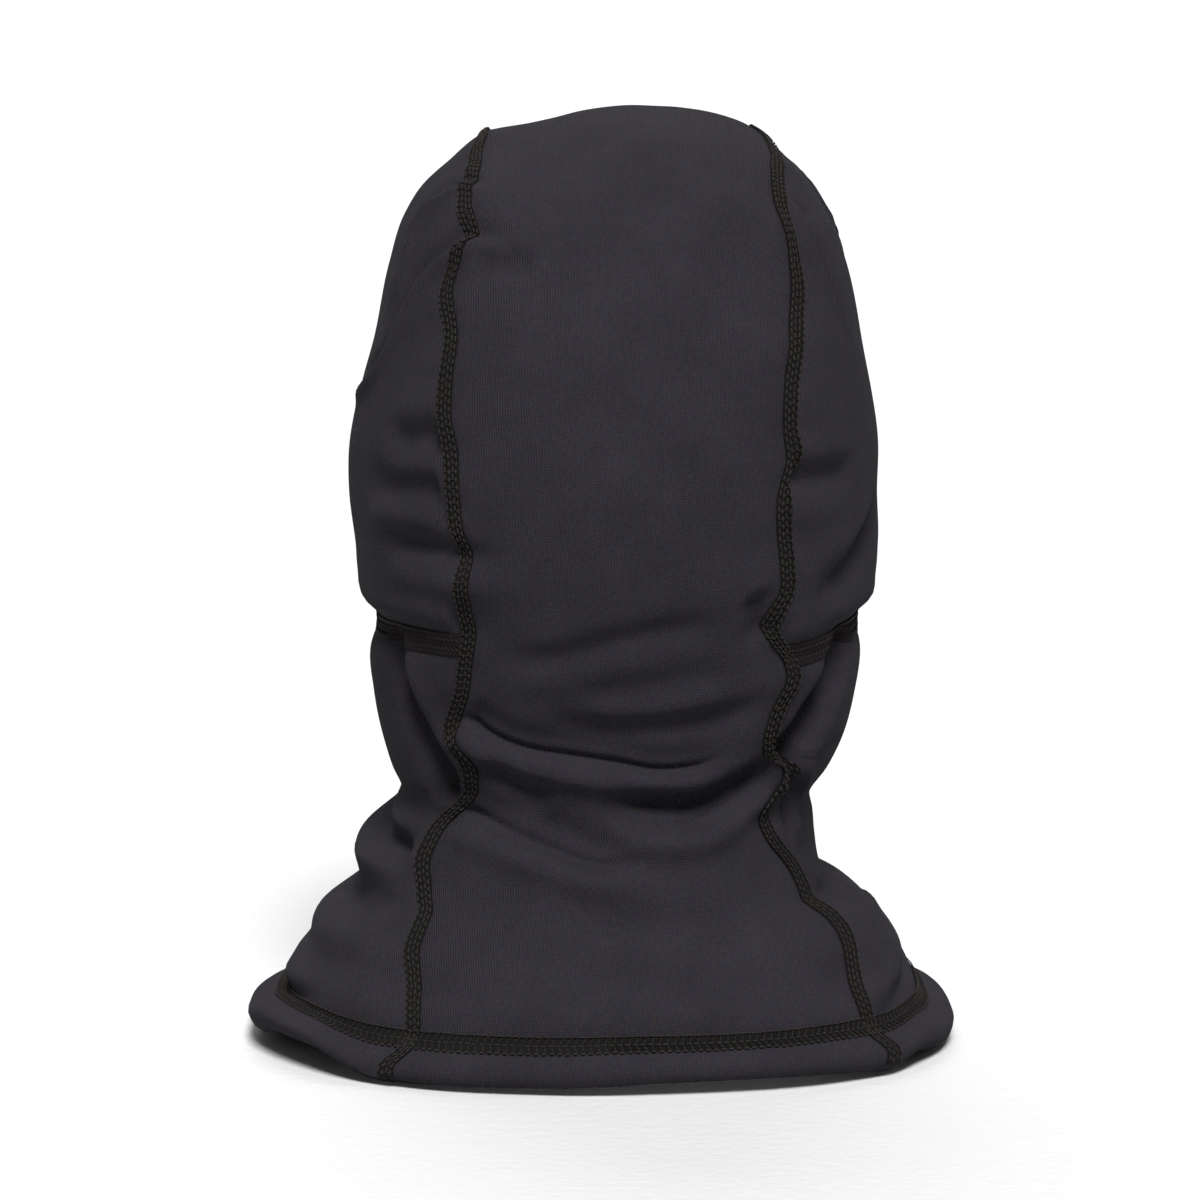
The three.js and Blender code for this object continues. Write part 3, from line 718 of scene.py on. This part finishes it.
def even_ways(line, first, last, pitch):
    """Ways along a line at equal distances on the worn surface."""
    rough = np.linspace(first, last, 600)
    p, _ = worn(line(rough, 0.0))
    length = np.concatenate([[0], np.linalg.norm(np.diff(p, axis=0), axis=1).cumsum()])
    number = max(2, int(length[-1] / pitch))
    return np.interp(np.linspace(0.5, number - 0.5, number) / number * length[-1], length, rough)


STITCH = 2.5
NEEDLES = (-1.95, -0.65, 0.65, 1.95)  # the rows of a flat seam, from its middle
LOOPER_LEAN = 1.25  # radians
rng = np.random.default_rng(7)


def stitched_seam(name, node, line, first, last, lift=0.0, needles=NEEDLES, sink=level, blend=False):
    """A flat seam: a low band of thread, rows of needle stitches, and looper threads that zigzag between
    them."""
    ways = even_ways(line, first, last, STITCH)
    parts = []
    for k, shift in enumerate(needles):
        jitter = rng.normal(0, 0.06, len(ways))
        at = ways + 0.35 * (k % 2) * np.gradient(ways)
        parts.append(place_stitches(line, at, shift + jitter, 0.0, 0.98, 0.33, 0.32, lift + 0.85, sink))
    for k, (low, high) in enumerate(zip(needles, needles[1:])):
        half = (high - low) / 2 / math.sin(LOOPER_LEAN)
        lean = LOOPER_LEAN * (-1) ** k + rng.normal(0, 0.08, len(ways))
        parts.append(place_stitches(line, ways, (low + high) / 2, lean, half, 0.2, 0.16, lift + 0.62, sink))
    vertices, faces = join(parts)
    bed_ways = np.linspace(first, last, 2 * len(ways))
    base = band_solid(name, line, bed_ways, SEAM_WIDTH, -0.2, lift + 0.35, SEAM_BED, sink)
    stitches = new_object("stitches", vertices, faces, THREAD, sharp=80)
    finish_piece(merged(base, stitches), "thread", node, blend=blend)


def merged(first, *others):
    """One object made of several, with the name of the first."""
    with bpy.context.temp_override(active_object=first, selected_editable_objects=[first, *others]):
        bpy.ops.object.join()
    return first


def back_line(side):
    def line(way, shift):
        x = seam_x(side, way) + side * shift
        return at_way(side * x, np.asarray(way, float))
    return line


def tape_line(side):
    def line(way, shift):
        start = turn_of(seam_x(side, BAND_Z), BAND_Z)
        return at_turn(start + (HINGE_TURN - start) * way, band_z(way, side) + shift) * (side, 1, 1)
    return line


def fan_line(middle_z, drop=1.0):
    def line(way, shift):
        share = 1 - np.abs(way)
        turn = front_turn(share)
        return at_turn(turn, fan(middle_z, share, drop) + shift) * np.stack(
            [np.where(np.asarray(way) < 0, -1, 1), np.ones_like(share), np.ones_like(share)], -1)
    return line


def front_line(way, shift):
    shift = np.broadcast_to(shift, np.shape(way)).astype(float)
    turn = turn_of(shift, way, front=True)
    return at_turn(np.where(shift < 0, -turn, turn), way)


def hem_line(way, shift):
    return at_turn(way, STITCH_Z + shift + 0 * way)


# Materials
def material(name, build):
    m = bpy.data.materials.new(name)
    m.use_nodes = True
    nodes, links = m.node_tree.nodes, m.node_tree.links
    shader = nodes["Principled BSDF"]

    def add(kind, **settings):
        node = nodes.new(kind)
        for key, value in settings.items():
            if hasattr(node, key):
                setattr(node, key, value)
            else:
                node.inputs[key.replace("_", " ")].default_value = value
        return node

    build(add, links.new, shader)
    return m


def fabric(name, colour, light, rib, ribbing, grain, roughness, sheen, mottle=0.35):
    """A knitted cloth: ribs along it, rows of stitches across them, a grain, a colour that varies, and
    painted rib shade.
    """

    def build(add, link, shader):
        uv = add("ShaderNodeUVMap", uv_map="cloth")
        place = add("ShaderNodeTexCoord")

        def noise(scale, detail, roughness):
            node = add("ShaderNodeTexNoise", Scale=scale, Detail=detail, Roughness=roughness)
            link(place.outputs["Object"], node.inputs["Vector"])
            return node

        def scaled(source, factor, onto=0.0):
            node = add("ShaderNodeMath", operation="MULTIPLY_ADD")
            link(source, node.inputs[0])
            node.inputs[1].default_value = factor
            if isinstance(onto, float):
                node.inputs[2].default_value = onto
            else:
                link(onto, node.inputs[2])
            return node.outputs[0]

        ribs = add("ShaderNodeTexWave", bands_direction="X", Scale=math.pi / rib, Distortion=0.9, Detail=2.0,
                   Detail_Scale=1.5)
        rows = add("ShaderNodeTexWave", bands_direction="Y", Scale=1.4 * math.pi / rib, Distortion=1.5,
                   Detail=1.0)
        for wave in (ribs, rows):
            link(uv.outputs["UV"], wave.inputs["Vector"])
        fine, broad, tint = noise(grain, 3.0, 0.7), noise(45.0, 4.0, 0.6), noise(700.0, 2.0, 0.6)
        knit = scaled(rows.outputs["Fac"], 0.35, scaled(ribs.outputs["Fac"], ribbing))
        bumps = add("ShaderNodeBump", Strength=0.9, Distance=0.0004)
        link(scaled(fine.outputs["Fac"], 1.2, knit), bumps.inputs["Height"])
        link(bumps.outputs["Normal"], shader.inputs["Normal"])
        tone_and_rib_shade = scaled(fine.outputs["Fac"], 0.45, scaled(broad.outputs["Fac"], 0.7, -0.32))
        # painted shade: the colour is darker in the valleys between the ribs and lighter on their tops, as
        # light falls on them
        tone_and_rib_shade = scaled(ribs.outputs["Fac"], 0.4 * ribbing, tone_and_rib_shade)
        mix = add("ShaderNodeMix", data_type="RGBA")
        link(tone_and_rib_shade, mix.inputs["Factor"])
        mix.inputs["A"].default_value = (*colour, 1)
        mix.inputs["B"].default_value = (*light, 1)
        flecks = add("ShaderNodeMix", data_type="RGBA", blend_type="OVERLAY")
        flecks.inputs["Factor"].default_value = mottle
        link(mix.outputs["Result"], flecks.inputs["A"])
        link(tint.outputs["Color"], flecks.inputs["B"])
        link(flecks.outputs["Result"], shader.inputs["Base Color"])
        shader.inputs["Roughness"].default_value = roughness
        shader.inputs["Specular IOR Level"].default_value = 0.06
        shader.inputs["Sheen Weight"].default_value = sheen
        shader.inputs["Sheen Roughness"].default_value = 0.5

    return material(name, build)


# each fabric's second colour is the lighter end of its random tone and, where it has ribbing, of painted
# light on its rib tops
FLEECE = fabric("fleece", (0.0135, 0.0120, 0.0152), (0.0290, 0.0257, 0.0323), 0.9, 0.8, 2600, 0.95, 0.004)
THREAD = fabric("thread", (0.018, 0.0158, 0.0142), (0.032, 0.0282, 0.0255), 0.6, 0.4, 3500, 0.8, 0.0)
SEAM_BED = fabric("seam_bed", (0.0062, 0.0057, 0.0058), (0.0110, 0.0100, 0.0102), 0.6, 0.6, 3500, 0.9, 0.0)
ELASTIC = fabric("elastic", (0.0078, 0.0058, 0.0058), (0.0125, 0.0098, 0.0098), 0.8, 1.0, 2500, 0.8, 0.0)
TAPE_YARN = fabric("tape_yarn", (0.014, 0.0115, 0.0112), (0.024, 0.020, 0.0195), 0.8, 0.4, 2500, 0.8, 0.0)
LABEL = fabric("label", (0.62, 0.60, 0.56), (0.74, 0.72, 0.68), 0.4, 0.5, 4000, 0.6, 0.0, 0.1)
PAPER = fabric("floor", (0.50, 0.50, 0.50), (0.52, 0.52, 0.52), 2.0, 0.0, 200, 0.9, 0.0, 0.0)

SIDES = ((1, "left"), (-1, "right"))


def finish_piece(obj, slot, *nodes, body="hood", blend=False):
    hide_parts(*nodes)
    if blend:
        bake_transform(obj)
    else:
        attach(obj, body)


def make_panels():
    middle = count(118, FINE_CELL) // 2
    panel = cloth("crown_back_cloth", crown_back_grid(), FLEECE, zero_column=middle, roll=True)
    finish_piece(panel, "fleece", "crown_back_panel")
    for side, word in SIDES:
        hood_side = cloth("hood_side_cloth_" + word, hood_side_grid(side), FLEECE)
        finish_piece(hood_side, "fleece", "hood_side_" + word)
        wrap = cloth("neck_wrap_cloth_" + word, neck_wrap_grid(side), FLEECE, roll=True)
        finish_piece(wrap, "fleece", "neck_wrap_" + word)
        grid, lift = mask_grid(side)
        mask = cloth("mask_cloth_" + word, grid, FLEECE, lift=lift)
        finish_piece(mask, "fleece", "mask_" + word, blend=True)
    grid, lift = chin_grid()
    chin = cloth("chin_cloth", grid, FLEECE, lift=lift)
    finish_piece(chin, "fleece", "chin_panel", blend=True)


def make_hem():
    facing = cloth("hem_facing_cloth", hem_grid(), FLEECE, lift=-CLOTH - 0.15, wraps=True)
    finish_piece(facing, "fleece", "hem_facing")
    rows = (-2.5, 0.0, 2.5)
    stitched_seam("hem_cover_stitch", "hem_stitch", hem_line, 0, 2 * math.pi, lift=0.2, needles=rows)


def make_seams():
    start = HEM_Z + 1.5
    for side, word in SIDES:
        line = back_line(side)
        stitched_seam("back_seam_threads_" + word, "back_seam_" + word, line, start, SEAM_END, lift=0.1)
    jaw_line, mask_line = fan_line(JAW_SEAM_Z, JAW_DROP), fan_line(MASK_SEAM_Z)
    stitched_seam("jaw_threads", "jaw_seam", jaw_line, -0.97, 0.97)
    stitched_seam("mask_threads", "mask_seam", mask_line, -0.94, 0.94, sink=under_hood, blend=True)
    stitched_seam("neck_front_threads", "neck_front_seam", front_line, start, JAW_SEAM_Z - 3)
    low = MASK_SEAM_Z + 3
    stitched_seam("mask_front_threads", "mask_front_seam", front_line, low, NOSE_EDGE_Z, blend=True)


def make_tapes():
    for side, word in SIDES:
        line = tape_line(side)
        ways = np.linspace(0.02, 1.015, 160)
        tape = band_solid("hinge_tape_cloth_" + word, line, ways, TAPE_WIDTH, -0.6, 0.7, ELASTIC)
        rows = [place_stitches(line, even_ways(line, 0.03, 0.97, 1.9), shift, lean, 0.8, 0.28, 0.24, 1.1)
                for shift, lean in ((-1.6, 0.7), (0.0, -0.7), (1.6, 0.7))]
        vertices, faces = join(rows)
        dots = new_object("dots", vertices, faces, TAPE_YARN, sharp=80)
        finish_piece(merged(tape, dots), "elastic", "hinge_tape_" + word)
        tack_ways = TACK_PLACE + 0.018 * np.linspace(-1, 1, 12)
        tack = [place_stitches(line, tack_ways, shift, math.pi / 2, 2.6, 0.3, 0.3, 1.9)
                for shift in (-3, 0, 3)]
        vertices, faces = join(tack)
        bar = new_object("hinge_tack_threads_" + word, vertices, faces, THREAD, sharp=80)
        finish_piece(bar, "thread", "hinge_tack_" + word)


def squared(value):
    """Turns a circle's sine or cosine into that of a flat shape with round long sides."""
    return np.sign(value) * np.abs(value) ** 0.6


def bound_edge(name, line, ways, low, high, lift=0.0):
    """An elastic binding, folded over an edge: a flat tube with round long sides."""
    turn = np.linspace(0, 2 * np.pi, 20, endpoint=False)
    across = (low + high) / 2 + (high - low) / 2 * squared(np.cos(turn))
    depth = -CLOTH / 2 + (CLOTH / 2 + 0.8) * squared(np.sin(turn))
    lift = np.broadcast_to(lift, ways.shape)[:, None]
    rings = []
    for shift, out in zip(across, depth):
        p, n = worn(line(ways, shift))
        rings.append(p + n * (out + lift))
    grid = np.stack(rings)
    rows, columns = grid.shape[:2]
    index = np.arange(rows * columns).reshape(rows, columns)
    index = np.concatenate([index, index[:1]])
    faces = np.stack([index[:-1, :-1], index[:-1, 1:], index[1:, 1:], index[1:, :-1]], -1).reshape(-1, 4)
    vertices = grid.reshape(-1, 3)
    uv = cloth_uv(grid.transpose(1, 0, 2))[: rows * columns]
    uv = uv.reshape(columns, rows, 2).transpose(1, 0, 2).reshape(-1, 2)
    return new_object(name, vertices, face_out(vertices, faces), ELASTIC, uv, sharp=80)


def arch_line(way, shift):
    """Way goes from one hinge point over the brow to the other, and shift is outwards from the opening."""
    angle = np.radians(0.05 + 89.95 * (1 - np.abs(way)))
    x = (HINGE_X + shift) * np.cos(angle) ** (2 / ARCH_ROUND)
    z = HINGE_Z + (BROW_Z - HINGE_Z + shift) * np.sin(angle) ** (2 / ARCH_ROUND)
    turn = np.where(np.abs(way) < 1e-6, np.pi, turn_of(x, z, front=True))
    return at_turn(np.where(np.asarray(way) < 0, -turn, turn), z)


def make_bindings():
    ways = np.linspace(-1, 1, count(330))
    face = bound_edge("face_binding_elastic", arch_line, ways, -BINDING_WIDTH, 2.2)
    finish_piece(face, "elastic", "face_binding")
    ways = np.linspace(-0.97, 0.97, count(190))
    line = fan_line(NOSE_EDGE_Z)
    mask = bound_edge("mask_binding_elastic", line, ways, -0.2, BINDING_WIDTH, under_hood(ways))
    finish_piece(mask, "elastic", "mask_binding", blend=True)


def make_label():
    low, high = (np.array(corner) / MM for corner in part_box("care_label"))
    u, t = np.meshgrid(np.linspace(low[0], high[0], 24), np.linspace(low[2], high[2], 36))
    cloth_y = worn(at_turn(np.sign(u) * turn_of(u, t), t))[0][..., 1].min(1, keepdims=True) - CLOTH - 1
    y = np.minimum((low[1] + high[1]) / 2, cloth_y) + 0.8 * np.sin((u - low[0]) / 9) * (high[2] - t) / 36
    outer = np.stack([u, y + 0.25, t], -1)
    vertices, faces = shell(outer, outer - (0, 0.5, 0))
    label = new_object("care_label_cloth", vertices, face_out(vertices, faces), LABEL, cloth_uv(outer))
    finish_piece(label, "label", "care_label")


# The camera, the light and the floor, in metres
SEEN_WIDTH = 0.414  # of the picture, at the hood
LIGHT_STRENGTH, SEEN_STRENGTH = 0.24, 1.1  # of the white surround


def make_stage():
    middle, reach = Vector((0.0035, 0, -0.0487)), 1.5
    camera = bpy.data.objects.new("camera", bpy.data.cameras.new("camera"))
    bpy.context.scene.collection.objects.link(camera)
    camera.location = (middle.x, reach, 0.13)
    aim = middle - camera.location
    camera.rotation_euler = aim.to_track_quat("-Z", "Y").to_euler()
    camera.data.sensor_width = 36
    camera.data.lens = 36 * aim.length / SEEN_WIDTH
    bpy.context.scene.camera = camera

    def softbox(name, place, strength, spread):
        light = bpy.data.lights.new(name, "SUN")
        light.energy, light.angle = strength, math.radians(spread)
        obj = bpy.data.objects.new(name, light)
        bpy.context.scene.collection.objects.link(obj)
        obj.rotation_euler = Vector(place).to_track_quat("Z", "Y").to_euler()

    softbox("key", (-0.06, 0.66, 0.75), 6.2, 20)
    softbox("face_key", (0.1, -0.66, 0.75), 1.7, 40)
    bpy.context.scene.view_settings.view_transform = "Standard"
    world = bpy.data.worlds.new("studio")
    bpy.context.scene.world = world
    world.use_nodes = True
    nodes, links = world.node_tree.nodes, world.node_tree.links
    nodes["Background"].inputs["Color"].default_value = (1, 1, 1, 1)
    # the white surround is bright to look at and gives a weaker, even light
    seen, strength = nodes.new("ShaderNodeLightPath"), nodes.new("ShaderNodeMapRange")
    strength.inputs["To Min"].default_value = LIGHT_STRENGTH
    strength.inputs["To Max"].default_value = SEEN_STRENGTH
    links.new(seen.outputs["Is Camera Ray"], strength.inputs["Value"])
    links.new(strength.outputs["Result"], nodes["Background"].inputs["Strength"])
    mesh = bpy.data.meshes.new("floor")
    far, low = 12.0, cad_box[0][2] - 0.004
    corners = [(-far, -far, low), (far, -far, low), (far, far, low), (-far, far, low)]
    mesh.from_pydata(corners, [], [(0, 1, 2, 3)])
    mesh.uv_layers.new(name="cloth")
    mesh.materials.append(PAPER)
    floor = bpy.data.objects.new("floor", mesh)
    bpy.context.scene.collection.objects.link(floor)


make_stage()
make_panels()
make_hem()
make_seams()
make_tapes()
make_bindings()
make_label()
